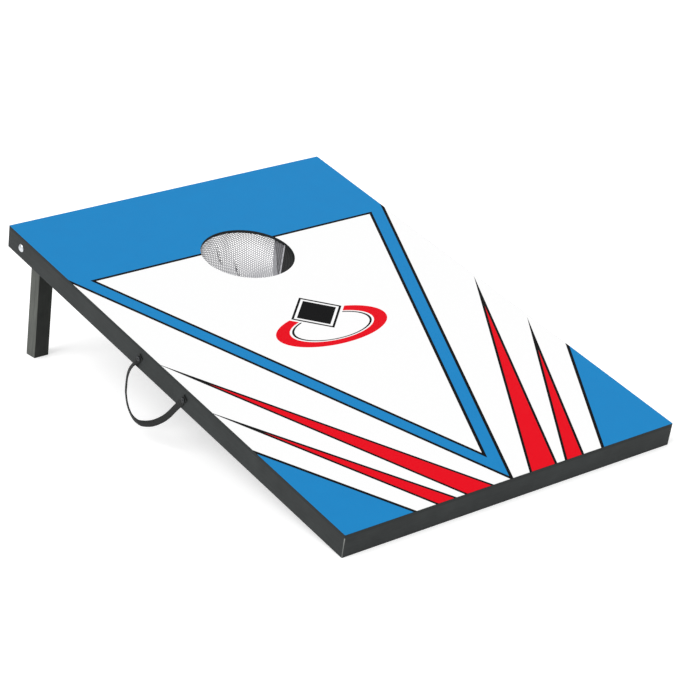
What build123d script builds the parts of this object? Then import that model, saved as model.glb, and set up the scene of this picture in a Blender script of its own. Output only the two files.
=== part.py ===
"""Cornhole board with fold-out rear legs, a catch net under the hole and a webbing carry strap.

Frame: millimetres, +X to the right, +Y from the low front edge to the raised back, +Z up.
The board stands open on a floor at Z = 0, and the origin is at the middle of its footprint.
Pieces of the tilted board are drawn on two planes: `board`, the plane of the rails' lower edges,
with local x across and local y up the slope, and `side`, seen from the right, with local x up
the slope and local y square to the deck.
"""

from math import asin, cos, radians, sin, tan
import os

from build123d import *

# ---- Driving dimensions ----
board_length = 900.0  # along the slope
board_width = 600.0
board_depth = 38.0  # rail, deck and printed film together
tilt = 12.5  # degrees, set by the length of the legs
deck_thickness = 5.0
film_thickness = 0.3
film_inset = 0.5  # black edge left showing round the printed film
rail_thickness = 27.0
edge_radius = 1.0  # softened arrises of rails and legs
corner_radius = 1.5  # outer corners in plan

hole_radius = 75.0
hole_from_back = 229.0  # centre of the hole to the raised edge

brace_thickness = 27.0
brace_from_front = 430.0  # centre of the brace to the front edge
block_leg = 42.0  # front corner block, along each rail
block_height = 28.0

dowel_radius = 3.0
mitre_dowel_length = 22.0
brace_dowel_length = 30.0
brad_radius = 0.7
brad_head_radius = 1.2
brad_head_height = 0.8
brad_length = 25.0
side_brad_count = 7  # along each side rail
cross_brad_count = 5  # along the front rail, the brace and the back rail
brad_end_margin = 60.0

leg_size = 26.0  # square section
leg_top_gap = 1.7  # between the leg's rounded top and the deck
pivot_radial_clearance = 0.08
leg_stop_gap = 0.4  # between the leg and the back rail that it stands against
bolt_radius = 3.0
bolt_head_radius = 6.6
bolt_head_height = 3.2
bolt_neck = 6.0  # square neck
bolt_neck_length = 4.0
bolt_end = 2.5  # thread standing out of the nut
bolt_end_chamfer = 0.5
washer_radius = 9.0
washer_thickness = 1.6
washer_clearance = 0.2
nut_across_flats = 10.0
nut_hex_height = 4.6
nut_height = 6.0
nut_collar_radius = 4.4

net_margin = 12.0  # rim of the bag outside the hole
net_depth = 55.0
net_wall_share = 0.4  # of the depth, where the bag's wall starts to curve in
net_knee_radius_share = 0.6  # a point on the curve between wall and floor
net_knee_depth_share = 0.9
net_wall = 1.5
hem_width = 20.0  # webbing tape round the bag's mouth
hem_lap = 4.0  # tape inside the bag's rim
hem_thickness = 1.2
hem_chord = 54.0  # the tape's straight side, from the hole's centre
hem_chord_angle = -39.5  # direction of that side, degrees from +X
staple_count = 14
staple_crown = 10.0
staple_leg = 4.0
staple_wire = 0.9

strap_width = 10.0
strap_thickness = 1.6
strap_front_screw = 388.0  # up the slope from the front edge
strap_back_screw = 508.0
strap_screw_height = 18.5  # above the rail's lower edge
strap_drop = 80.0  # below the rail's lower edge
strap_slant = 56.0  # degrees between a strap end and the rail
strap_joint_gap = 1.0
strap_tab_end = 7.0  # webbing past the screw
strap_back_shift = 18.0  # the loop's back corner, up the slope from where its end leaves the rail
strap_bend_radius = 26.0
screw_head_radius = 4.0
screw_head_height = 2.0
screw_head_round = 1.0
recess_span = 4.0  # cross recess for the driver
recess_width = 0.9
recess_depth = 1.2
screw_radius = 1.75
screw_length = 18.0

# ---- Derived sizes ----
slope = radians(tilt)
rail_height = board_depth - deck_thickness - film_thickness
pivot_height = rail_height - leg_top_gap - leg_size / 2  # above the rail's lower edge
half_width = board_width / 2
rail_inner = half_width - rail_thickness
leg_outer = rail_inner - washer_thickness
leg_inner = leg_outer - leg_size
nut_seat = leg_inner - washer_thickness
pivot_up_slope = board_length - rail_thickness - leg_stop_gap - leg_size / 2
hole_up_slope = board_length - hole_from_back
net_rim_radius = hole_radius + net_margin
hem_inner_radius = net_rim_radius - hem_lap
hem_outer_radius = hem_inner_radius + hem_width
deck_top_height = board_depth - film_thickness

# The front rail's rounded lower edge touches the floor, and the footprint is centred on the origin.
board_lift = -edge_radius * (sin(slope) + cos(slope) - 1)
pivot_z = board_lift + pivot_up_slope * sin(slope) + pivot_height * cos(slope)
footprint_front = -deck_top_height * sin(slope)
footprint_back = (
    pivot_up_slope * cos(slope)
    - pivot_height * sin(slope)
    + pivot_z * tan(slope)
    + leg_size / 2 / cos(slope)
)
board = Plane(
    origin=(0, -(footprint_front + footprint_back) / 2, board_lift),
    x_dir=(1, 0, 0),
    z_dir=(0, -sin(slope), cos(slope)),
)
board_up = Axis(board.origin, board.z_dir)
side = Plane(origin=board.origin, x_dir=board.y_dir, z_dir=(1, 0, 0))
pivot = side.from_local_coords(Vector(pivot_up_slope, pivot_height, 0))

os.makedirs("parts", exist_ok=True)


def save(built, name):
    """Label a finished piece and write its STEP file."""
    built.part.label = name
    export_step(built.part, f"parts/{name}.step")


# ---- Dowels, made first so that the rails can be drilled with them ----
mitre_inset = rail_thickness / 2
mitre_dowels_x = half_width - mitre_inset
with BuildPart() as mitre_dowels:
    for x_sign in (-1, 1):
        for up_slope, y_sign in ((mitre_inset, 1), (board_length - mitre_inset, -1)):
            middle = board.from_local_coords(
                Vector(x_sign * mitre_dowels_x, up_slope, rail_height / 2)
            )
            along = board.x_dir * x_sign + board.y_dir * y_sign
            with BuildSketch(Plane(origin=middle, z_dir=along)):
                Circle(dowel_radius)
            extrude(amount=mitre_dowel_length / 2, both=True)
save(mitre_dowels, "mitre_dowels")

with BuildPart() as brace_dowels:
    for x_sign in (-1, 1):
        with BuildSketch(side.offset(x_sign * rail_inner)):
            with Locations((brace_from_front, rail_height / 2)):
                Circle(dowel_radius)
        extrude(amount=brace_dowel_length / 2, both=True)
save(brace_dowels, "brace_dowels")


# ---- Rails: a mitred ring under the deck ----
def build_rail(name, ends, bolt_side=0):
    """One rail: the part of the ring inside the four-sided outline `ends`.

    A side rail, with bolt_side -1 or 1, also has the leg bolt's hole and square recess.
    """
    with BuildPart() as rail:
        with BuildSketch(board):
            with Locations((0, board_length / 2)):
                RectangleRounded(board_width, board_length, corner_radius)
                Rectangle(
                    board_width - 2 * rail_thickness,
                    board_length - 2 * rail_thickness,
                    mode=Mode.SUBTRACT,
                )
            Polygon(*ends, align=None, mode=Mode.INTERSECT)
        extrude(amount=rail_height)
        underside = rail.faces().sort_by(board_up)[0]
        long_edges = underside.edges().sort_by(Edge.length)[-2:]
        fillet(long_edges, radius=edge_radius)
        if bolt_side:
            with BuildSketch(side.offset(bolt_side * rail_inner)):
                with Locations((pivot_up_slope, pivot_height)):
                    Circle(bolt_radius)
            extrude(amount=bolt_side * rail_thickness, mode=Mode.SUBTRACT)
            with BuildSketch(side.offset(bolt_side * half_width)):
                with Locations((pivot_up_slope, pivot_height)):
                    Rectangle(bolt_neck, bolt_neck)
            extrude(amount=-bolt_side * bolt_neck_length, mode=Mode.SUBTRACT)
        add(mitre_dowels.part, mode=Mode.SUBTRACT)
        add(brace_dowels.part, mode=Mode.SUBTRACT)
    save(rail, name)


ring_back = board_length - rail_thickness
build_rail(
    "front_rail",
    [
        (-half_width, 0),
        (half_width, 0),
        (rail_inner, rail_thickness),
        (-rail_inner, rail_thickness),
    ],
)
build_rail(
    "back_rail",
    [
        (-half_width, board_length),
        (-rail_inner, ring_back),
        (rail_inner, ring_back),
        (half_width, board_length),
    ],
)
for name, x_sign in (("left_rail", -1), ("right_rail", 1)):
    build_rail(
        name,
        [
            (x_sign * half_width, 0),
            (x_sign * half_width, board_length),
            (x_sign * rail_inner, ring_back),
            (x_sign * rail_inner, rail_thickness),
        ],
        bolt_side=x_sign,
    )

# ---- Brace across the middle, and glued blocks in the front corners ----
with BuildPart() as cross_brace:
    with BuildSketch(board):
        with Locations((0, brace_from_front)):
            Rectangle(2 * rail_inner, brace_thickness)
    extrude(amount=rail_height)
    brace_underside = cross_brace.faces().sort_by(board_up)[0]
    fillet(brace_underside.edges().sort_by(Edge.length)[-2:], radius=edge_radius)
    add(brace_dowels.part, mode=Mode.SUBTRACT)
save(cross_brace, "cross_brace")

for name, x_sign in (("front_left_block", -1), ("front_right_block", 1)):
    with BuildPart() as corner_block:
        with BuildSketch(board.offset(rail_height - block_height)):
            Polygon(
                (x_sign * rail_inner, rail_thickness),
                (x_sign * (rail_inner - block_leg), rail_thickness),
                (x_sign * rail_inner, rail_thickness + block_leg),
                align=None,
            )
        extrude(amount=block_height)
    save(corner_block, name)

# ---- Deck and its printed film ----
with BuildPart() as deck_panel:
    with BuildSketch(board.offset(rail_height)):
        with Locations((0, board_length / 2)):
            RectangleRounded(board_width, board_length, corner_radius)
        with Locations((0, hole_up_slope)):
            Circle(hole_radius, mode=Mode.SUBTRACT)
    extrude(amount=deck_thickness)
save(deck_panel, "deck_panel")

with BuildPart() as deck_print:
    with BuildSketch(board.offset(deck_top_height)):
        with Locations((0, board_length / 2)):
            RectangleRounded(
                board_width - 2 * film_inset, board_length - 2 * film_inset, corner_radius
            )
        with Locations((0, hole_up_slope)):
            Circle(hole_radius, mode=Mode.SUBTRACT)
    extrude(amount=film_thickness)
save(deck_print, "deck_print")

# ---- Brads that hold the deck to the rails and the brace, under the film ----
rail_middle = half_width - rail_thickness / 2
brad_run = board_length - 2 * brad_end_margin - rail_thickness
brad_places = [
    (x_sign * rail_middle, brad_end_margin + step * brad_run / (side_brad_count - 1))
    for x_sign in (-1, 1)
    for step in range(side_brad_count)
]
cross_run = 2 * (rail_inner - brad_end_margin)
brad_places += [
    (-cross_run / 2 + step * cross_run / (cross_brad_count - 1), up_slope)
    for up_slope in (rail_thickness / 2, brace_from_front, board_length - rail_thickness / 2)
    for step in range(cross_brad_count)
]
with BuildPart() as deck_brads:
    with BuildSketch(board.offset(deck_top_height)):
        with Locations(*brad_places):
            Circle(brad_head_radius)
    extrude(amount=-brad_head_height)
    with BuildSketch(board.offset(deck_top_height - brad_head_height)):
        with Locations(*brad_places):
            Circle(brad_radius)
    extrude(amount=brad_head_height - brad_length)
save(deck_brads, "deck_brads")


# ---- Legs and their pivots, one set on each side ----
def build_leg(x_sign):
    """A leg with a rounded top that turns on the bolt, and a foot cut flat to the floor."""
    leg_run = pivot_z / cos(slope) + leg_size
    with BuildPart() as leg:
        with BuildSketch(side.offset(x_sign * leg_inner)):
            with Locations((pivot_up_slope, pivot_height)):
                Circle(leg_size / 2)
            with Locations((pivot_up_slope, pivot_height - leg_run / 2)):
                Rectangle(leg_size, leg_run)
        extrude(amount=x_sign * leg_size)
        fillet(leg.faces().filter_by(Axis.X).edges(), radius=edge_radius)
        with BuildSketch(side.offset(x_sign * leg_inner)):
            with Locations((pivot_up_slope, pivot_height)):
                Circle(bolt_radius + pivot_radial_clearance)
        extrude(amount=x_sign * leg_size, mode=Mode.SUBTRACT)
        split(bisect_by=Plane.XY, keep=Keep.TOP)
    return leg


def build_bolt(x_sign):
    """A carriage bolt: domed head on the rail's face, square neck, plain shank."""
    dome_radius = (bolt_head_radius**2 + bolt_head_height**2) / (2 * bolt_head_height)
    half_angle = asin(bolt_head_radius / dome_radius) / 2
    dome_middle = (
        bolt_head_height - dome_radius * (1 - cos(half_angle)),
        dome_radius * sin(half_angle),
    )
    head_seat = Plane(
        origin=(x_sign * half_width, pivot.Y, pivot.Z), x_dir=(x_sign, 0, 0), z_dir=(0, 1, 0)
    )
    grip = half_width - nut_seat + nut_height + bolt_end
    with BuildPart() as bolt:
        with BuildSketch(head_seat):
            with BuildLine():
                Line((0, 0), (0, bolt_head_radius))
                ThreePointArc((0, bolt_head_radius), dome_middle, (bolt_head_height, 0))
                Line((bolt_head_height, 0), (0, 0))
            make_face()
        revolve(axis=Axis(head_seat.origin, (1, 0, 0)))
        with BuildSketch(side.offset(x_sign * half_width)):
            with Locations((pivot_up_slope, pivot_height)):
                Rectangle(bolt_neck, bolt_neck)
        extrude(amount=-x_sign * bolt_neck_length)
        with BuildSketch(side.offset(x_sign * half_width)):
            with Locations((pivot_up_slope, pivot_height)):
                Circle(bolt_radius)
        extrude(amount=-x_sign * grip)
        chamfer(bolt.edges().sort_by(Axis.X)[0 if x_sign > 0 else -1], length=bolt_end_chamfer)
    return bolt


def build_washer(x_sign, seat):
    """A plain washer whose inner face is `seat` from the middle of the board."""
    with BuildPart() as washer:
        with BuildSketch(side.offset(x_sign * seat)):
            with Locations((pivot_up_slope, pivot_height)):
                Circle(washer_radius)
                Circle(bolt_radius + washer_clearance, mode=Mode.SUBTRACT)
        extrude(amount=x_sign * washer_thickness)
    return washer


def build_nut(x_sign):
    """A lock nut: hexagon towards the leg, round collar towards the bolt's end."""
    with BuildPart() as nut:
        with BuildSketch(side.offset(x_sign * nut_seat)):
            with Locations((pivot_up_slope, pivot_height)):
                RegularPolygon(nut_across_flats / 2, 6, major_radius=False)
        extrude(amount=-x_sign * nut_hex_height)
        with BuildSketch(side.offset(x_sign * nut_seat)):
            with Locations((pivot_up_slope, pivot_height)):
                Circle(nut_collar_radius)
        extrude(amount=-x_sign * nut_height)
        with BuildSketch(side.offset(x_sign * nut_seat)):
            with Locations((pivot_up_slope, pivot_height)):
                Circle(bolt_radius)
        extrude(amount=-x_sign * nut_height, mode=Mode.SUBTRACT)
    return nut


for hand, x_sign in (("left", -1), ("right", 1)):
    save(build_leg(x_sign), f"{hand}_leg")
    save(build_bolt(x_sign), f"{hand}_leg_bolt")
    save(build_washer(x_sign, leg_outer), f"{hand}_spacer_washer")
    save(build_washer(x_sign, nut_seat), f"{hand}_nut_washer")
    save(build_nut(x_sign), f"{hand}_lock_nut")

# ---- Catch net, the tape round its mouth and the staples through the tape ----
net_seat = board.offset(rail_height - hem_thickness)
net_axis_point = net_seat.from_local_coords(Vector(0, hole_up_slope, 0))
net_section = Plane(origin=net_axis_point, x_dir=board.x_dir, z_dir=-board.y_dir)
chord_direction = (
    board.x_dir * cos(radians(hem_chord_angle)) + board.y_dir * sin(radians(hem_chord_angle))
)


def build_bag(inset):
    """The bag filled solid, its wall and floor moved in and its top moved up by `inset`."""
    rim = net_rim_radius - inset
    depth = net_depth - inset
    flat_side = Plane(
        origin=net_axis_point + chord_direction * (hem_chord + net_wall - inset),
        z_dir=chord_direction,
    )
    with BuildPart() as bag:
        with BuildSketch(net_section):
            with BuildLine():
                wall_foot = (rim, -depth * net_wall_share)
                knee = (rim * net_knee_radius_share, -depth * net_knee_depth_share)
                Polyline((0, -depth), (0, inset), (rim, inset), wall_foot)
                Spline(wall_foot, knee, (0, -depth), tangents=[(0, -1), (-1, 0)])
            make_face()
        revolve(axis=Axis(net_axis_point, board.z_dir))
        split(bisect_by=flat_side, keep=Keep.BOTTOM)
    return bag


net_outside = build_bag(0)
net_inside = build_bag(net_wall)
with BuildPart() as catch_net:
    add(net_outside.part)
    add(net_inside.part, mode=Mode.SUBTRACT)
save(catch_net, "catch_net")

chord_band = hem_outer_radius - hem_chord
band_middle = hem_chord + chord_band / 2
with BuildPart() as net_hem:
    with BuildSketch(net_seat):
        with Locations((0, hole_up_slope)):
            Circle(hem_outer_radius)
            Circle(hem_inner_radius, mode=Mode.SUBTRACT)
            with Locations(Location((0, 0, 0), (0, 0, hem_chord_angle))):
                with Locations((band_middle, 0)):
                    Rectangle(chord_band, 2 * hem_outer_radius)
            Circle(hem_outer_radius, mode=Mode.INTERSECT)
    extrude(amount=hem_thickness)
save(net_hem, "net_hem")

staple_ring = (net_rim_radius + hem_outer_radius) / 2
with BuildPart() as net_staples:
    with BuildSketch(net_seat):
        with Locations((0, hole_up_slope)):
            with PolarLocations(staple_ring, staple_count):
                Rectangle(staple_wire, staple_crown)
    extrude(amount=-staple_wire)
    with BuildSketch(net_seat):
        with Locations((0, hole_up_slope)):
            with PolarLocations(staple_ring, staple_count):
                with GridLocations(0, staple_crown - staple_wire, 1, 2):
                    Rectangle(staple_wire, staple_wire)
    extrude(amount=staple_leg)
save(net_staples, "net_staples")

# ---- Carry strap: two ends screwed flat to the left rail, and the loop that swings below ----
strap_face = side.offset(-half_width)
slant = radians(strap_slant)
end_run = strap_screw_height / sin(slant)
end_shift = strap_screw_height / tan(slant)
screw_places = [
    (strap_front_screw, strap_screw_height),
    (strap_back_screw, strap_screw_height),
]
with BuildPart() as strap_ends:
    with BuildSketch(strap_face):
        for up_slope, height in screw_places:
            tail = Vector(up_slope - strap_tab_end * cos(slant), height + strap_tab_end * sin(slant))
            tip = Vector(up_slope + 2 * end_shift, -height)
            across = Vector(sin(slant), cos(slant)) * (strap_width / 2)
            Polygon(tail - across, tail + across, tip + across, tip - across, align=None)
        with Locations(((strap_front_screw + strap_back_screw) / 2, -board_width / 2)):
            Rectangle(board_length, board_width, mode=Mode.SUBTRACT)
    extrude(amount=-strap_thickness)
    with BuildSketch(strap_face):
        with Locations(*screw_places):
            Circle(screw_radius)
    extrude(amount=-strap_thickness, mode=Mode.SUBTRACT)
save(strap_ends, "strap_ends")

loop_start = Vector(strap_front_screw + end_shift, 0)
loop_end = Vector(strap_back_screw + end_shift, 0)
loop_low_front = Vector(loop_start.X + strap_drop / tan(slant), -strap_drop)
loop_low_back = Vector(loop_end.X + strap_back_shift, -strap_drop)
with BuildPart() as strap_loop:
    with BuildSketch(strap_face):
        with BuildLine() as loop_line:
            FilletPolyline(
                loop_start, loop_low_front, loop_low_back, loop_end, radius=strap_bend_radius
            )
        trace(loop_line.line, line_width=strap_width)
        with Locations(((strap_front_screw + strap_back_screw) / 2, board_width / 2)):
            Rectangle(
                board_length, board_width + 2 * strap_joint_gap, mode=Mode.SUBTRACT
            )
    extrude(amount=-strap_thickness)
save(strap_loop, "strap_loop")

with BuildPart() as strap_screws:
    with BuildSketch(strap_face.offset(-strap_thickness)):
        with Locations(*screw_places):
            Circle(screw_head_radius)
    extrude(amount=-screw_head_height)
    fillet(strap_screws.edges().group_by(Axis.X)[0], radius=screw_head_round)
    with BuildSketch(strap_face.offset(-strap_thickness)):
        with Locations(*screw_places):
            Circle(screw_radius)
    extrude(amount=screw_length)
    with BuildSketch(strap_face.offset(-strap_thickness - screw_head_height)):
        with Locations(*screw_places):
            Rectangle(recess_span, recess_width, rotation=25)
            Rectangle(recess_width, recess_span, rotation=25)
    extrude(amount=recess_depth, mode=Mode.SUBTRACT)
save(strap_screws, "strap_screws")

print(f"pivot Y {pivot.Y:.3f} Z {pivot.Z:.3f}, board origin Y {board.origin.Y:.3f}")
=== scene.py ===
"""The looks of a cornhole board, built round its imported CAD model. All sizes are in metres."""

from math import cos, exp, hypot, pi, radians, sin, sqrt

import bmesh
import bpy
from mathutils import Matrix, Vector


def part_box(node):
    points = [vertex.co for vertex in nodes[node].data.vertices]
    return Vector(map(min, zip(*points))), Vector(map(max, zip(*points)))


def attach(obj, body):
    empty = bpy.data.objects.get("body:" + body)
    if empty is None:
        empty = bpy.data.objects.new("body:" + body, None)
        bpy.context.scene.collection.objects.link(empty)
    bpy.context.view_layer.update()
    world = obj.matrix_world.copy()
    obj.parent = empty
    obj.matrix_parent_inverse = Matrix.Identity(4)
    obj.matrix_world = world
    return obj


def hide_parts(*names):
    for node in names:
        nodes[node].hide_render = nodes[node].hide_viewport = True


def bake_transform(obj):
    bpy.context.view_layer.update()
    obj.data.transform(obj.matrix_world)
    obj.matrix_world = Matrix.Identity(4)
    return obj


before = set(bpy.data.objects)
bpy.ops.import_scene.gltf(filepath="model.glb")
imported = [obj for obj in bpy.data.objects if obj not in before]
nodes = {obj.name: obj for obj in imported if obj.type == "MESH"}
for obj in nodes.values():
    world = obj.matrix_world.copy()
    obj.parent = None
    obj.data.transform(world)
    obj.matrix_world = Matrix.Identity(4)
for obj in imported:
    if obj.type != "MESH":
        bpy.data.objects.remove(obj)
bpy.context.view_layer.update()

# ---- Camera ----
# A long lens, low over the left front corner.
# It stands about 3.5 m from the board, so that the board's sides hardly converge.
camera_data = bpy.data.cameras.new("camera")
camera_data.sensor_width = 36
camera_data.lens = 116.9
camera = bpy.data.objects.new("camera", camera_data)
looks_along = Vector((0.5564, 0.7422, -0.3737)).normalized()
level_right = Vector((0.7989, -0.6015, -0.0050)).normalized()
upwards = level_right.cross(looks_along)
camera.matrix_world = Matrix.Translation((-1.9044, -2.6040, 1.3821)) @ Matrix(
    (level_right, upwards, -looks_along)
).transposed().to_4x4()
bpy.context.scene.collection.objects.link(camera)
bpy.context.scene.camera = camera
bpy.context.scene.view_settings.view_transform = "Standard"


# ---- Studio ----
# A seamless white floor under an even white tent, with one broad soft light high on the left.
# Standing in its own bounce, the board throws only a faint shadow to its right.
def linear(hex_colour):
    """An sRGB hex colour as linear red, green, blue and alpha."""
    parts = [int(hex_colour[i : i + 2], 16) / 255 for i in (1, 3, 5)]
    return [p / 12.92 if p <= 0.04045 else ((p + 0.055) / 1.055) ** 2.4 for p in parts] + [1]


def add(tree, kind, inputs=(), out=0, **settings):
    """Add a shader node with its settings and its inputs, values or sockets, and return one output."""
    node = tree.nodes.new("ShaderNode" + kind)
    for name, value in settings.items():
        setattr(node, name, value)
    for key, value in dict(inputs).items():
        if isinstance(value, bpy.types.NodeSocket):
            tree.links.new(value, node.inputs[key])
        else:
            node.inputs[key].default_value = value
    return node.outputs[out] if len(node.outputs) else None


def new_finish(name):
    """An empty material, named for the real finish, and its node tree."""
    material = bpy.data.materials.new(name)
    material.use_nodes = True
    material.node_tree.nodes.clear()
    return material, material.node_tree


def shade(tree, inputs):
    """End a material with a Principled shader that takes these inputs."""
    add(tree, "OutputMaterial", {"Surface": add(tree, "BsdfPrincipled", inputs)})


floor_size = 60
floor_finish, tree = new_finish("matt white studio floor")
shade(
    tree,
    {
        "Base Color": linear("#E1E1E1"),
        "Roughness": 0.9,
        "Specular IOR Level": 0.1,
        "Emission Color": linear("#FFFFFF"),
        "Emission Strength": 0.5,
    },
)
bpy.ops.object.select_all(action="DESELECT")
bpy.ops.mesh.primitive_plane_add(size=floor_size)
floor = bpy.context.object
floor.name = "studio_floor"
floor.data.materials.append(floor_finish)

world = bpy.data.worlds.new("white tent")
world.use_nodes = True
world.node_tree.nodes["Background"].inputs["Color"].default_value = linear("#FFFFFF")
world.node_tree.nodes["Background"].inputs["Strength"].default_value = 0.74
bpy.context.scene.world = world

softbox_data = bpy.data.lights.new("softbox", "SUN")
softbox_data.energy = 1.5
softbox_data.angle = radians(40)
softbox = bpy.data.objects.new("softbox", softbox_data)
softbox.rotation_euler = Vector((0.66, 0.1, -0.75)).to_track_quat("-Z", "Y").to_euler()
bpy.context.scene.collection.objects.link(softbox)

# ---- Rails, brace and corner blocks ----
# Softwood sticks, mitred into a ring and dowelled, with a brace across the middle and two glued
# corner blocks. They are sprayed charcoal all over, so the grain only just shows. A pale line along
# the mitre at the front left corner is partly rubbed paint and partly a painted highlight on the arris.
tilt = radians(12.5)
deck_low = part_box("deck_panel")[0]
deck_top_height = 0.0377
deck_underside_height = 0.0327
# The board's own frame: x across, y up the slope, z square to the deck, from the rails' lower edge.
board_origin = Vector(
    (
        0,
        deck_low.y + deck_top_height * sin(tilt),
        deck_low.z - deck_underside_height * cos(tilt),
    )
)
board = Matrix.Translation(board_origin) @ Matrix.Rotation(tilt, 4, "X")
board_width, board_length = 0.6, 0.9


def board_place(tree):
    """The point being shaded, in the board's own frame."""
    return add(
        tree,
        "Mapping",
        {
            "Vector": add(tree, "TexCoord", out="Object"),
            "Location": board_origin,
            "Rotation": (tilt, 0, 0),
        },
        vector_type="TEXTURE",
    )


def painted_wood(name, paint, pale, stretch, corner_wear_and_highlight=False, lit_face=None):
    """Sprayed wood. stretch is small along the grain; paint and pale are the coat's two tones.

    The coat is dull and cloudy, with a faint line of grain every 2 mm or so telling through.
    The last argument is how far out from the board's middle a face lies that is painted paler, as painted
    light falling on it from the left.
    """
    material, tree = new_finish(name)
    place = board_place(tree)
    along = add(tree, "Mapping", {"Vector": place, "Scale": stretch})
    grain = add(
        tree, "TexNoise", {"Vector": along, "Scale": 1 / 0.0022, "Detail": 4.0, "Roughness": 0.6}
    )
    cloud = add(
        tree, "TexNoise", {"Vector": place, "Scale": 1 / 0.045, "Detail": 5.0, "Roughness": 0.62}
    )
    tone = add(tree, "Math", {0: grain, 1: 0.4, 2: 0.0}, operation="MULTIPLY_ADD")
    tone = add(tree, "Math", {0: cloud, 1: 0.9, 2: tone}, operation="MULTIPLY_ADD")
    tone = add(tree, "MapRange", {"Value": tone, "From Min": 0.42, "From Max": 0.88})
    colour = add(
        tree, "Mix", {0: tone, 6: linear(paint), 7: linear(pale)}, out=2, data_type="RGBA"
    )
    # A pale line along the front left mitre: partly rubbed paint, partly a painted highlight on the
    # arris.
    if corner_wear_and_highlight:
        edge = (-board_width / 2, 0, 0)
        offset = add(tree, "VectorMath", {0: place, 1: edge}, operation="SUBTRACT")
        flat = add(tree, "VectorMath", {0: offset, 1: (1, 1, 0)}, operation="MULTIPLY")
        away = add(tree, "VectorMath", {0: flat}, out=1, operation="LENGTH")
        ragged = add(tree, "Math", {0: cloud, 1: 0.0016, 2: away}, operation="MULTIPLY_ADD")
        wear_and_highlight = add(
            tree,
            "MapRange",
            {"Value": ragged, "From Min": 0.0012, "From Max": 0.002, "To Min": 0.6, "To Max": 0.0},
        )
        colour = add(
            tree, "Mix", {0: wear_and_highlight, 6: colour, 7: linear("#A3A5A2")}, out=2, data_type="RGBA"
        )
    # Painted light: the face that the light from the left falls on is painted paler.
    if lit_face:
        sideways = add(tree, "SeparateXYZ", {0: place})
        outwards = add(tree, "Math", {0: sideways}, operation="ABSOLUTE")
        reach = {"From Min": lit_face - 0.0006, "From Max": lit_face - 0.0002}
        lit_face_share = add(tree, "MapRange", {"Value": outwards, **reach})
        streak = add(tree, "MapRange", {"Value": grain, "From Min": 0.35, "From Max": 0.65})
        lit_face_colour = add(
            tree, "Mix", {0: streak, 6: linear("#474946"), 7: linear("#5A5D58")}, out=2,
            data_type="RGBA",
        )
        colour = add(tree, "Mix", {0: lit_face_share, 6: colour, 7: lit_face_colour}, out=2, data_type="RGBA")
    dull = add(tree, "MapRange", {"Value": cloud, "To Min": 0.5, "To Max": 0.72})
    spray = add(tree, "TexNoise", {"Vector": place, "Scale": 1 / 0.0009, "Detail": 2.0})
    height = add(tree, "Math", {0: grain, 1: 0.7, 2: 0.0}, operation="MULTIPLY_ADD")
    height = add(tree, "Math", {0: spray, 1: 0.3, 2: height}, operation="MULTIPLY_ADD")
    bump = add(tree, "Bump", {"Height": height, "Strength": 0.5, "Distance": 0.0002})
    shade(
        tree,
        {"Base Color": colour, "Roughness": dull, "Specular IOR Level": 0.15, "Normal": bump},
    )
    return material


def dress(material, *names):
    """Give CAD nodes a finish; their shapes stay as they are."""
    for name in names:
        nodes[name].data.materials.clear()
        nodes[name].data.materials.append(material)


grain_share = 0.05  # how much slower the pattern runs along the grain
across_grain = (grain_share, 1, 1)
up_slope_grain = (1, grain_share, 1)
charcoal, charcoal_pale = "#232626", "#333636"
side_paint = painted_wood(
    "charcoal paint on softwood, side rails", charcoal, charcoal_pale, up_slope_grain, True
)
cross_paint = painted_wood(
    "charcoal paint on softwood, cross rails", charcoal, charcoal_pale, across_grain, True
)
dress(side_paint, "left_rail", "right_rail")
dress(
    cross_paint, "front_rail", "back_rail", "cross_brace", "front_left_block", "front_right_block"
)

# ---- Dowels ----
# Fluted beech dowels, glued across the mitres and into the brace's ends, hidden once pressed in.
# Beech is pale and pinkish, with short dark flecks along the grain.
beech, tree = new_finish("planed beech")
place = add(tree, "TexCoord", out="Object")
fleck = add(
    tree,
    "TexNoise",
    {
        "Vector": add(tree, "Mapping", {"Vector": place, "Scale": (grain_share * 4, 1, 1)}),
        "Scale": 1 / 0.0008,
        "Detail": 3.0,
    },
)
shade(
    tree,
    {
        "Base Color": add(
            tree, "Mix", {0: fleck, 6: linear("#B98A62"), 7: linear("#DDBB95")}, out=2,
            data_type="RGBA",
        ),
        "Roughness": 0.6,
        "Normal": add(tree, "Bump", {"Height": fleck, "Strength": 0.3, "Distance": 0.0001}),
    },
)
dress(beech, "mitre_dowels", "brace_dowels")

# ---- Deck panel ----
# A 5 mm fibreboard panel, stained black so that its edges and the sawn wall of the hole match
# the frame. The wall shows fine upright saw marks, and the faces a soft fibrous mottle.
fibreboard, tree = new_finish("black stained fibreboard")
place = board_place(tree)
fibre = add(tree, "TexNoise", {"Vector": place, "Scale": 1 / 0.0015, "Detail": 6.0, "Roughness": 0.7})
saw = add(
    tree,
    "TexNoise",
    {
        "Vector": add(tree, "Mapping", {"Vector": place, "Scale": (1, 1, 0.1)}),
        "Scale": 1 / 0.001,
        "Detail": 2.0,
    },
)
shade(
    tree,
    {
        "Base Color": add(
            tree, "Mix", {0: fibre, 6: linear("#1F2222"), 7: linear("#333636")}, out=2,
            data_type="RGBA",
        ),
        "Roughness": add(tree, "MapRange", {"Value": fibre, "To Min": 0.6, "To Max": 0.85}),
        "Specular IOR Level": 0.15,
        "Normal": add(tree, "Bump", {"Height": saw, "Strength": 0.4, "Distance": 0.0002}),
    },
)
dress(fibreboard, "deck_panel")

# ---- Brads, bolts, washers, nuts and staples ----
# Wire brads hold the deck down. Each leg hangs on an M6 carriage bolt with a domed head outside,
# a washer on each side of the leg and a lock nut, all bright zinc plate, and staples hold the net.


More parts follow.
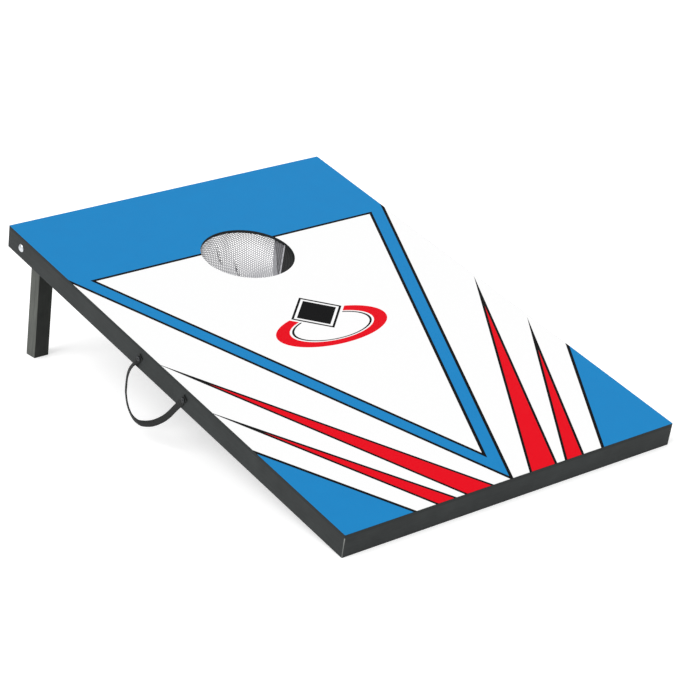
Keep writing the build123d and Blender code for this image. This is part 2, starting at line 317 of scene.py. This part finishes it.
def plated(name, shine, dull, roughness, speck):
    """Zinc plate: a metal with a faint crystal mottle and fine scratches; speck is its grain size."""
    material, tree = new_finish(name)
    place = add(tree, "TexCoord", out="Object")
    crystal = add(tree, "TexVoronoi", {"Vector": place, "Scale": 1 / speck}, out="Color")
    mottle = add(tree, "SeparateColor", {0: crystal})
    scratch = add(
        tree, "TexNoise", {"Vector": place, "Scale": 1 / 0.0006, "Detail": 4.0, "Distortion": 1.5}
    )
    shade(
        tree,
        {
            "Base Color": add(
                tree, "Mix", {0: mottle, 6: linear(dull), 7: linear(shine)}, out=2,
                data_type="RGBA",
            ),
            "Metallic": 1.0,
            "Roughness": add(
                tree,
                "MapRange",
                {"Value": scratch, "To Min": roughness, "To Max": roughness + 0.2},
            ),
            "Normal": add(tree, "Bump", {"Height": scratch, "Strength": 0.15, "Distance": 0.0001}),
        },
    )
    return material


zinc_plate = plated("bright zinc plated steel", "#DDE0E3", "#B9BDC2", 0.22, 0.0012)
nut_plate = plated("dull zinc plated steel", "#C3C6C9", "#9FA3A8", 0.32, 0.001)
bare_wire = plated("drawn steel wire", "#A9A9A6", "#8A8A88", 0.38, 0.0008)
for hand in ("left", "right"):
    dress(zinc_plate, f"{hand}_leg_bolt", f"{hand}_spacer_washer", f"{hand}_nut_washer")
    dress(nut_plate, f"{hand}_lock_nut")
dress(bare_wire, "deck_brads", "net_staples")

# ---- Printed film ----
# A laminated vinyl film, printed in flat blue, red and black on white and rolled onto the deck
# half a millimetre in from its edges. The laminate is smooth, with a satin shine and the faintest ripple.
# The layout is given in millimetres, across from the middle line and down from the raised edge.
line_width = 5.0
band_foot = 201
film, tree = new_finish("satin laminated printed vinyl")
place = board_place(tree)
place_mm = add(tree, "VectorMath", {0: place, 3: 1000.0}, operation="SCALE")
axes = tree.nodes.new("ShaderNodeSeparateXYZ")
tree.links.new(place_mm, axes.inputs[0])
from_back = add(tree, "Math", {0: 1000 * board_length, 1: axes.outputs["Y"]}, operation="SUBTRACT")
# The film went on a little askew, so its middle line drifts to the left towards the front.
film_drift = 10.5
drift = add(
    tree,
    "MapRange",
    {"Value": from_back, "From Min": 150.0, "From Max": 900.0, "To Max": film_drift},
)
on_film = add(tree, "Math", {0: axes.outputs["X"], 1: drift}, operation="ADD")
from_middle = add(tree, "Math", {0: on_film}, operation="ABSOLUTE")
layout = add(tree, "CombineXYZ", {"X": from_middle, "Y": from_back, "Z": 1.0})


def beyond(tree, start, end):
    """How far a point lies outside the line from start down to end, in millimetres."""
    run = Vector(end) - Vector(start)
    out_x, out_y = run.y / run.length, -run.x / run.length
    offset = -(start[0] * out_x + start[1] * out_y)
    return add(
        tree, "VectorMath", {0: layout, 1: (out_x, out_y, offset)}, out=1, operation="DOT_PRODUCT"
    )


def within(tree, distance, reach, centre=0.0):
    """1 where a distance is less than reach from centre, otherwise 0."""
    off = add(tree, "Math", {0: distance, 1: centre}, operation="SUBTRACT")
    apart = add(tree, "Math", {0: off}, operation="ABSOLUTE")
    return add(tree, "Math", {0: apart, 1: reach}, operation="LESS_THAN")


# The white triangle inside, and the blue band and V round it.
outside_inner = add(
    tree,
    "Math",
    {
        0: beyond(tree, (266, band_foot), (0, 838)),
        1: add(tree, "Math", {0: float(band_foot), 1: from_back}, operation="SUBTRACT"),
    },
    operation="MAXIMUM",
)
outside_outer = beyond(tree, (300, 188), (0, 900))
blue_band = add(
    tree,
    "Math",
    {
        0: add(tree, "Math", {0: outside_inner, 1: 0.0}, operation="GREATER_THAN"),
        1: add(tree, "Math", {0: outside_outer, 1: 0.0}, operation="LESS_THAN"),
    },
    operation="MULTIPLY",
)
# The blue corners at the front.
into_corner = beyond(tree, (300, 674), (171, 900))
blue_corner = add(tree, "Math", {0: into_corner, 1: 0.0}, operation="GREATER_THAN")
in_blue = add(tree, "Math", {0: blue_band, 1: blue_corner}, operation="MAXIMUM")
black_areas = [
    within(tree, edge, line_width / 2) for edge in (outside_inner, outside_outer, into_corner)
]
# Two red rays on each side, edged in black inside their outline, so that they end in a black
# needle: where the point is on the side edge, and where the foot begins and ends in front.
red_areas = []
for ray_point, foot_start, foot_end in ((437, 32.5, 84), (572, 98.5, 135)):
    before = beyond(tree, (300, ray_point), (foot_start, 900))
    outside_ray = add(
        tree,
        "Math",
        {
            0: add(tree, "Math", {0: before, 1: -1.0}, operation="MULTIPLY"),
            1: beyond(tree, (300, ray_point), (foot_end, 900)),
        },
        operation="MAXIMUM",
    )
    red_areas.append(add(tree, "Math", {0: outside_ray, 1: 0.0}, operation="LESS_THAN"))
    black_areas.append(within(tree, outside_ray, 0.4 * line_width, -0.4 * line_width))
# A plain emblem in the middle: a black bag, standing on its corner over a red ring.
emblem_from_front = 450
ring_half_width, ring_half_height, ring_drop = 100, 48, 14
bag_rise, bag_half, bag_border, bag_ground = 28, 37.0, 45.0, 53.0
from_emblem = add(
    tree,
    "VectorMath",
    {
        0: add(tree, "CombineXYZ", {"X": on_film, "Y": axes.outputs["Y"]}),
        1: (0, emblem_from_front, 0),
    },
    operation="SUBTRACT",
)
ring_place = add(
    tree,
    "Mapping",
    {
        "Vector": from_emblem,
        "Location": (0, ring_drop / ring_half_height, 0),
        "Scale": (1 / ring_half_width, 1 / ring_half_height, 0),
    },
)
ring = add(tree, "VectorMath", {0: ring_place}, out=1, operation="LENGTH")
bag_place = add(
    tree, "Mapping", {"Vector": from_emblem, "Location": (0, -bag_rise, 0), "Scale": (1, 1, 0)}
)
bag_spread = add(tree, "VectorMath", {0: bag_place}, operation="ABSOLUTE")
bag_reach = add(tree, "VectorMath", {0: bag_spread, 1: (1, 1, 0)}, out=1, operation="DOT_PRODUCT")
off_bag = add(tree, "Math", {0: bag_reach, 1: bag_ground}, operation="GREATER_THAN")
# As shares of the ring's half width and height: a broad band, and a thin line inside it.
ring_band = within(tree, ring, 0.12, 0.87)
ring_line = within(tree, ring, 0.02, 0.69)
red_areas.append(add(tree, "Math", {0: ring_band, 1: off_bag}, operation="MULTIPLY"))
black_areas.append(add(tree, "Math", {0: ring_line, 1: off_bag}, operation="MULTIPLY"))
black_areas.append(within(tree, bag_reach, line_width / 2, bag_border))
black_areas.append(add(tree, "Math", {0: bag_reach, 1: bag_half}, operation="LESS_THAN"))
in_red, in_black = red_areas[0], black_areas[0]
for area in red_areas[1:]:
    in_red = add(tree, "Math", {0: in_red, 1: area}, operation="MAXIMUM")
for area in black_areas[1:]:
    in_black = add(tree, "Math", {0: in_black, 1: area}, operation="MAXIMUM")

# Flat inks, each laid over the one before, with the blue very slightly uneven.
ink_cloud = add(tree, "TexNoise", {"Vector": place, "Scale": 1 / 0.03, "Detail": 3.0})
blue = add(
    tree, "Mix", {0: ink_cloud, 6: linear("#197EBC"), 7: linear("#1B83C1")}, out=2, data_type="RGBA"
)
colour = add(tree, "Mix", {0: in_blue, 6: linear("#F4F4F4"), 7: blue}, out=2, data_type="RGBA")
colour = add(tree, "Mix", {0: in_red, 6: colour, 7: linear("#E00018")}, out=2, data_type="RGBA")
colour = add(tree, "Mix", {0: in_black, 6: colour, 7: linear("#070708")}, out=2, data_type="RGBA")
ripple = add(tree, "TexNoise", {"Vector": place, "Scale": 1 / 0.006, "Detail": 2.0})
shade(
    tree,
    {
        "Base Color": colour,
        "Roughness": add(tree, "MapRange", {"Value": ink_cloud, "To Min": 0.42, "To Max": 0.52}),
        "Specular IOR Level": 0.05,
        "Normal": add(tree, "Bump", {"Height": ripple, "Strength": 0.1, "Distance": 0.0001}),
    },
)
dress(film, "deck_print")

# ---- Legs ----
# Two square softwood legs with rounded tops, each on its own bolt and standing against the back
# rail. Their thin paint is darker than the rails', as painted shade on their front faces under the
# deck, and their outer faces are painted paler, as painted light falling from the left.
leg_paint = painted_wood(
    "thin charcoal paint on softwood, legs", "#1A1C1A", "#2C2F2C", (1, 1, grain_share),
    lit_face=-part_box("left_leg")[0].x,
)
dress(leg_paint, "left_leg", "right_leg")

# ---- Catch net ----
# A knitted off-white nylon net with six-sided holes 3.5 mm apart, cut round, gathered a little
# and sewn into a tape, so that it hangs as a shallow bag. Its threads are soft. Their colour is
# greyed all over as painted shade under the deck, and dark grey along two creases as painted shade in the
# folds.
mesh_pitch = 0.0035
thread_width = 0.0011
thread_height = 0.0008
net_cut_radius = 0.112
net_mouth_radius = 0.0866
net_drop = 0.053
net_corner = 2.6  # a round bag has 2, and a square pan more
net_gather = 0.0016  # ripples round the wall
net_sag = 0.0022  # uneven hang of the floor
crease_depth = 0.004
crease_reach = 0.0021
# Two soft creases, from end to end on the flat cut.
net_creases = (((0.001, 0.088), (-0.004, 0.056)), ((0.022, 0.06), (0.008, 0.018)))
# The tape crosses the hole at one side. Its edge, and the line where the net on top of it ends,
# are each given by the direction square to them and the distance from the hole's middle.
edge_turn, tape_edge = radians(-32.5), 0.0465
edge_way = Vector((cos(edge_turn), sin(edge_turn)))
fold_turn, fold_line = radians(-39.5), 0.054
fold_way = Vector((cos(fold_turn), sin(fold_turn)))
hole_from_back = 0.229
hole_middle = Vector((0, board_length - hole_from_back))
tape_thickness = 0.0012
tape_low = deck_underside_height - tape_thickness

profile_steps = 240
profile = [(0.0, 0.0, -net_drop)]
for step in range(1, profile_steps + 1):
    turn = pi / 2 * step / profile_steps
    radius = net_mouth_radius * sin(turn) ** (2 / net_corner)
    depth = -net_drop * max(cos(turn), 0) ** (2 / net_corner)
    run = profile[-1][0] + hypot(radius - profile[-1][1], depth - profile[-1][2])
    profile.append((run, radius, depth))


def hang(flat):
    """Where a point of the flat round cut comes to in the hanging bag, in the board's own frame."""
    share = min(flat.length / net_cut_radius, 1.0)
    run = share * profile[-1][0]
    step = next(i for i in range(1, len(profile)) if profile[i][0] >= run - 1e-9)
    (run_a, radius_a, depth_a), (run_b, radius_b, depth_b) = profile[step - 1], profile[step]
    part = (run - run_a) / (run_b - run_a)
    radius = radius_a + part * (radius_b - radius_a)
    depth = depth_a + part * (depth_b - depth_a)
    way = flat.normalized() if flat.length else Vector((1, 0))
    turn = way.angle_signed(Vector((1, 0)), 0)
    # Gathers fade out towards the mouth, where the tape holds them, and towards the floor.
    gather = net_gather * share**2 * (1 - share**8)
    radius += gather * (sin(11 * turn + 0.6) + 0.6 * sin(19 * turn + 2.0))
    depth += net_sag * (1 - share**3) * sin(3 * turn + 4 * share + 0.5)
    depth -= crease_depth * creased(flat)
    spot = way * radius
    over = spot.dot(edge_way) - tape_edge - thread_height
    if over > 0:
        spot -= edge_way * over
    return board @ Vector((spot.x, hole_middle.y + spot.y, tape_low + min(depth, 0)))


def creased(flat):
    """How deep in a crease a point of the flat cut lies, from 0 to 1."""
    deepest = 0.0
    for (start_x, start_y), (end_x, end_y) in net_creases:
        start, end = Vector((start_x, start_y)), Vector((end_x, end_y))
        part = (flat - start).dot(end - start) / (end - start).length_squared
        if 0 < part < 1:
            away = (flat - start - (end - start) * part).length
            deepest = max(deepest, sin(pi * part) ** 0.5 * exp(-((away / crease_reach) ** 2)))
    return deepest


def knit(name, reach, covers, place, shade_all_over=0.0):
    """Six-sided net: the holes whose middle on the flat cut is covered, each corner put in place.

    The last argument is how much the threads are greyed all over as painted shade, from 0 to 1.
    """
    mesh = bmesh.new()
    # The float layer holds each corner's share of painted shade, which the thread material reads.
    crease = mesh.verts.layers.float.new("crease")
    shared = {}
    rows = int(reach / (mesh_pitch * sqrt(3) / 2)) + 1
    spokes = [
        Vector((sin(pi / 3 * side), cos(pi / 3 * side))) * mesh_pitch / sqrt(3) for side in range(6)
    ]
    for row in range(-rows, rows + 1):
        for column in range(-rows, rows + 1):
            middle = Vector(
                (mesh_pitch * (column + 0.5 * (row % 2)), mesh_pitch * sqrt(3) / 2 * row)
            )
            if not covers(middle):
                continue
            outer, inner = [], []
            for spoke in spokes:
                flat = middle + spoke
                key = (round(flat.x, 6), round(flat.y, 6))
                if key not in shared:
                    shared[key] = mesh.verts.new(place(flat))
                    shared[key][crease] = max(creased(flat), shade_all_over)
                outer.append(shared[key])
                flat = middle + spoke * (1 - thread_width / mesh_pitch)
                inner.append(mesh.verts.new(place(flat)))
                inner[-1][crease] = max(creased(flat), shade_all_over)
            for side in range(6):
                after = (side + 1) % 6
                mesh.faces.new((outer[after], outer[side], inner[side], inner[after]))
    data = bpy.data.meshes.new(name)
    mesh.to_mesh(data)
    mesh.free()
    cloth = bpy.data.objects.new(name, data)
    bpy.context.scene.collection.objects.link(cloth)
    solidify = cloth.modifiers.new("thread height", "SOLIDIFY")
    solidify.thickness = thread_height
    solidify.offset = 0
    bpy.ops.object.select_all(action="DESELECT")
    bpy.context.view_layer.objects.active = cloth
    cloth.select_set(True)
    bpy.ops.object.modifier_apply(modifier="thread height")
    return cloth


net = knit(
    "knitted_net",
    net_cut_radius,
    lambda middle: middle.length < net_cut_radius - mesh_pitch / 2,
    hang,
)

# Soft, dull threads with the twist of the yarn just showing, greyed all over as painted shade under the
# deck, and dark grey as painted shade where the crease layer marks them.
nylon, tree = new_finish("knitted off-white nylon thread")
place = add(tree, "TexCoord", out="Object")
twist = add(tree, "TexNoise", {"Vector": place, "Scale": 1 / 0.0006, "Detail": 2.0})
white = add(
    tree, "Mix", {0: twist, 6: linear("#9C9CA1"), 7: linear("#C0C0C4")}, out=2, data_type="RGBA"
)
# The crease layer holds painted shade, along the creases and on the lapped net.
painted_shade = add(tree, "Attribute", out="Fac", attribute_name="crease")
shade(
    tree,
    {
        "Base Color": add(
            tree, "Mix", {0: painted_shade, 6: white, 7: linear("#46464A")}, out=2, data_type="RGBA"
        ),
        "Roughness": 0.5,
        "Normal": add(tree, "Bump", {"Height": twist, "Strength": 0.4, "Distance": 0.0002}),
    },
)
net.data.materials.append(nylon)
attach(net, "board")
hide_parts("catch_net")

# ---- Tape round the net's mouth ----
# A 20 mm woven black tape, stapled to the underside of the deck, with a straight side where it
# crosses the hole. There the net is lapped over its edge and sewn down under a narrow white fold.
tape_outer = 0.104
tape_inner = 0.084
turns_round = 144
strips_across = 5
tape_mesh = bmesh.new()
tape_uv = tape_mesh.loops.layers.uv.new("UVMap")
rings = []
for step in range(turns_round):
    turn = 2 * pi * step / turns_round
    way = Vector((cos(turn), sin(turn)))
    facing = way.dot(edge_way)
    inner = min(tape_inner, tape_edge / facing) if facing > 0 else tape_inner
    ring = []
    for strip in range(strips_across + 1):
        radius = inner + (tape_outer - inner) * strip / strips_across
        spot = way * radius
        ring.append(
            tape_mesh.verts.new(
                board @ Vector((spot.x, hole_middle.y + spot.y, tape_low + tape_thickness / 2))
            )
        )
    rings.append(ring)
for step in range(turns_round):
    ring, following = rings[step], rings[(step + 1) % turns_round]
    for strip in range(strips_across):
        face = tape_mesh.faces.new(
            (ring[strip], ring[strip + 1], following[strip + 1], following[strip])
        )
        for loop, (along, across) in zip(
            face.loops, ((0, strip), (0, strip + 1), (1, strip + 1), (1, strip))
        ):
            loop[tape_uv].uv = (
                (step + along) * 2 * pi * 0.094 / turns_round,
                0.02 * across / strips_across,
            )
tape_data = bpy.data.meshes.new("net_tape_mesh")
tape_mesh.to_mesh(tape_data)
tape_mesh.free()
tape = bpy.data.objects.new("net_tape", tape_data)
bpy.context.scene.collection.objects.link(tape)
solidify = tape.modifiers.new("tape thickness", "SOLIDIFY")
solidify.thickness = tape_thickness
solidify.offset = 0
bevel = tape.modifiers.new("soft selvedge", "BEVEL")
bevel.width = 0.0004
bevel.segments = 2
bevel.limit_method = "ANGLE"
bpy.ops.object.select_all(action="DESELECT")
bpy.context.view_layer.objects.active = tape
tape.select_set(True)
bpy.ops.object.modifier_apply(modifier="tape thickness")
bpy.ops.object.modifier_apply(modifier="soft selvedge")


def woven(name, dark, light, rib, roughness):
    """Black narrow fabric, woven on its UV map in metres: ribs across it every `rib` metres."""
    material, tree = new_finish(name)
    uv = add(tree, "TexCoord", out="UV")
    ribs = add(
        tree,
        "TexWave",
        {"Vector": uv, "Scale": 2 * pi / rib / 20, "Distortion": 0.6, "Detail": 1.0},
        out="Fac",
        bands_direction="X",
    )
    warps = add(
        tree,
        "TexWave",
        {"Vector": uv, "Scale": 2 * pi / (rib * 1.3) / 20, "Distortion": 0.4, "Detail": 1.0},
        out="Fac",
        bands_direction="Y",
    )
    weave = add(tree, "Math", {0: ribs, 1: warps}, operation="MULTIPLY")
    fuzz = add(tree, "TexNoise", {"Vector": uv, "Scale": 1 / 0.0005, "Detail": 3.0})
    height = add(tree, "Math", {0: fuzz, 1: 0.3, 2: weave}, operation="MULTIPLY_ADD")
    shade(
        tree,
        {
            "Base Color": add(
                tree, "Mix", {0: height, 6: linear(dark), 7: linear(light)}, out=2,
                data_type="RGBA",
            ),
            "Roughness": roughness,
            "Specular IOR Level": 0.2,
            "Normal": add(tree, "Bump", {"Height": height, "Strength": 0.8, "Distance": 0.0004}),
        },
    )
    return material


tape.data.materials.append(woven("black woven polyester tape", "#161717", "#3A3C3C", 0.0012, 0.75))
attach(tape, "board")
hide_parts("net_hem")

# ---- Net lapped over the tape ----
# Where the tape crosses the hole, the edge of the net lies on top of it, from the tape's edge to
# the line where it is sewn down. It is the same net, greyed further as painted shade under the deck.
lap_reach = 0.0725  # just inside the hole
lap_lift = 0.6 * thread_height


def lapped(flat):
    """Where a point of the net comes to on top of the tape."""
    lift = tape_low + tape_thickness + lap_lift
    return board @ Vector((flat.x, hole_middle.y + flat.y, lift))


lap = knit(
    "net_lap",
    net_mouth_radius,
    lambda middle: middle.dot(edge_way) > tape_edge
    and middle.dot(fold_way) < fold_line
    and middle.length < lap_reach,
    lapped,
    # The lapped net is greyed all over as painted shade under the deck.
    shade_all_over=0.6,
)
lap.data.materials.append(nylon)
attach(lap, "board")

# ---- White fold at the end of the lapped net ----
# The last 2 mm of the net, turned under and sewn down on the tape in a straight, narrow strip.
# It is drawn a little in and up between the stitches.
fold_width = 0.0022
fold_thickness = 0.0006
fold_half = 0.0515
fold_wander = 0.0002
bpy.ops.object.select_all(action="DESELECT")
bpy.ops.mesh.primitive_grid_add(x_subdivisions=48, y_subdivisions=3, size=1)
fold = bpy.context.object
fold.name = "net_fold"
fold_along = Vector((-fold_way.y, fold_way.x))
for corner in fold.data.vertices:
    along = corner.co.x * 2 * fold_half
    across = fold_line + fold_width * (0.55 + corner.co.y) + fold_wander * sin(along * 900)
    spot = fold_way * across + fold_along * along
    lift = tape_low + tape_thickness + fold_thickness * (0.6 + 0.25 * sin(along * 1500) ** 2)
    corner.co = board @ Vector((spot.x, hole_middle.y + spot.y, lift))
solidify = fold.modifiers.new("fold thickness", "SOLIDIFY")
solidify.thickness = fold_thickness
solidify.offset = 0
bpy.ops.object.modifier_apply(modifier="fold thickness")
fold.data.materials.append(nylon)
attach(fold, "board")

# ---- Carry strap ----
# A 10 mm strip of stiff black polypropylene webbing, screwed flat to the left rail at both ends.
# It drops below the rail, bulges a little away from the board and is twisted on its way back up.
strap_width = 0.010
strap_thickness = 0.0016
# Up the slope, above the rail's lower edge, out from the rail's face, and the twist in degrees.
strap_route = [
    (0.3841, 0.0243, 0.0009, 0),
    (0.3880, 0.0185, 0.0009, 0),
    (0.3995, 0.0020, 0.0012, 0),
    (0.4327, -0.0430, 0.0057, 0),
    (0.4680, -0.0690, 0.0118, -10),
    (0.4800, -0.0722, 0.0138, -14),
    (0.5010, -0.0690, 0.0134, -18),
    (0.5215, -0.0500, 0.0098, -20),
    (0.5262, -0.0390, 0.0075, -22),
    (0.5275, -0.0177, 0.0052, -27),
    (0.5180, 0.0030, 0.0042, -38),
    (0.5080, 0.0185, 0.0009, 0),
    (0.5041, 0.0243, 0.0009, 0),
]
steps_per_knot = 10
route_curve = bpy.data.curves.new("strap_route", "CURVE")
route_curve.dimensions = "3D"
route_curve.resolution_u = steps_per_knot
route = route_curve.splines.new("BEZIER")
route.bezier_points.add(len(strap_route) - 1)
for knot, (up_slope, height, out, turn) in zip(route.bezier_points, strap_route):
    knot.co = board @ Vector((-board_width / 2 - out, up_slope, height))
    knot.handle_left_type = knot.handle_right_type = "AUTO"
route_object = bpy.data.objects.new("strap_route", route_curve)
bpy.context.scene.collection.objects.link(route_object)
bpy.context.view_layer.update()
line_mesh = bpy.data.meshes.new_from_object(
    route_object.evaluated_get(bpy.context.evaluated_depsgraph_get())
)
line = [v.co.copy() for v in line_mesh.vertices]
bpy.data.objects.remove(route_object)

strap_mesh = bmesh.new()
strap_uv = strap_mesh.loops.layers.uv.new("UVMap")
runs = [0.0]
for a, b in zip(line, line[1:]):
    runs.append(runs[-1] + (b - a).length)
# Half the section's outline, as shares of half the width and half the thickness.
section = [(-1, -0.4), (-0.88, -1), (0, -1.06), (0.88, -1), (1, -0.4)]
section += [(-x, -y) for x, y in section]
outwards = Vector((-1, 0, 0))
rings = []
for i, spot in enumerate(line):
    ahead = (line[min(i + 1, len(line) - 1)] - line[max(i - 1, 0)]).normalized()
    level = outwards.cross(ahead).normalized()
    knot, part = divmod(i / steps_per_knot, 1)
    before = strap_route[int(knot)][3]
    after = strap_route[min(int(knot) + 1, len(strap_route) - 1)][3]
    twist = radians(before + (after - before) * part * part * (3 - 2 * part))
    across = level * cos(twist) + outwards * sin(twist)
    across = (across - ahead * across.dot(ahead)).normalized()
    through = ahead.cross(across)
    rings.append(
        [
            strap_mesh.verts.new(
                spot + across * x * strap_width / 2 + through * y * strap_thickness / 2
            )
            for x, y in section
        ]
    )
for i in range(len(rings) - 1):
    for side in range(len(section)):
        after = (side + 1) % len(section)
        face = strap_mesh.faces.new(
            (rings[i][side], rings[i][after], rings[i + 1][after], rings[i + 1][side])
        )
        for loop, (step, place_on) in zip(
            face.loops, ((i, side), (i, side + 1), (i + 1, side + 1), (i + 1, side))
        ):
            x = section[place_on % len(section)][0]
            loop[strap_uv].uv = (runs[step], x * strap_width / 2)
strap_mesh.faces.new(reversed(rings[0]))
strap_mesh.faces.new(rings[-1])
bmesh.ops.recalc_face_normals(strap_mesh, faces=strap_mesh.faces)
strap_data = bpy.data.meshes.new("strap_mesh")
strap_mesh.to_mesh(strap_data)
strap_mesh.free()
strap = bpy.data.objects.new("carry_strap", strap_data)
bpy.context.scene.collection.objects.link(strap)
bpy.ops.object.select_all(action="DESELECT")
bpy.context.view_layer.objects.active = strap
strap.select_set(True)
bpy.ops.object.shade_smooth_by_angle(angle=radians(50))
strap.data.materials.append(
    woven("black polypropylene webbing", "#0E0F0F", "#262828", 0.0013, 0.6)
)
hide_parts("strap_ends", "strap_loop")
# The webbing bends where it passes the rail's lower edge, from just above it to below it.
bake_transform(strap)

# ---- Strap screws ----
# Two black pan-head screws, phosphated and lightly oiled, that hold the strap's ends to the rail.
# Dark, with a greyish bloom and a low, oily shine.
black_steel, tree = new_finish("black phosphated steel")
place = add(tree, "TexCoord", out="Object")
bloom = add(tree, "TexNoise", {"Vector": place, "Scale": 1 / 0.0007, "Detail": 3.0})
shade(
    tree,
    {
        "Base Color": add(
            tree, "Mix", {0: bloom, 6: linear("#26282A"), 7: linear("#4A4C4E")}, out=2,
            data_type="RGBA",
        ),
        "Metallic": 1.0,
        "Roughness": 0.35,
        "Normal": add(tree, "Bump", {"Height": bloom, "Strength": 0.3, "Distance": 0.0001}),
    },
)
dress(black_steel, "strap_screws")
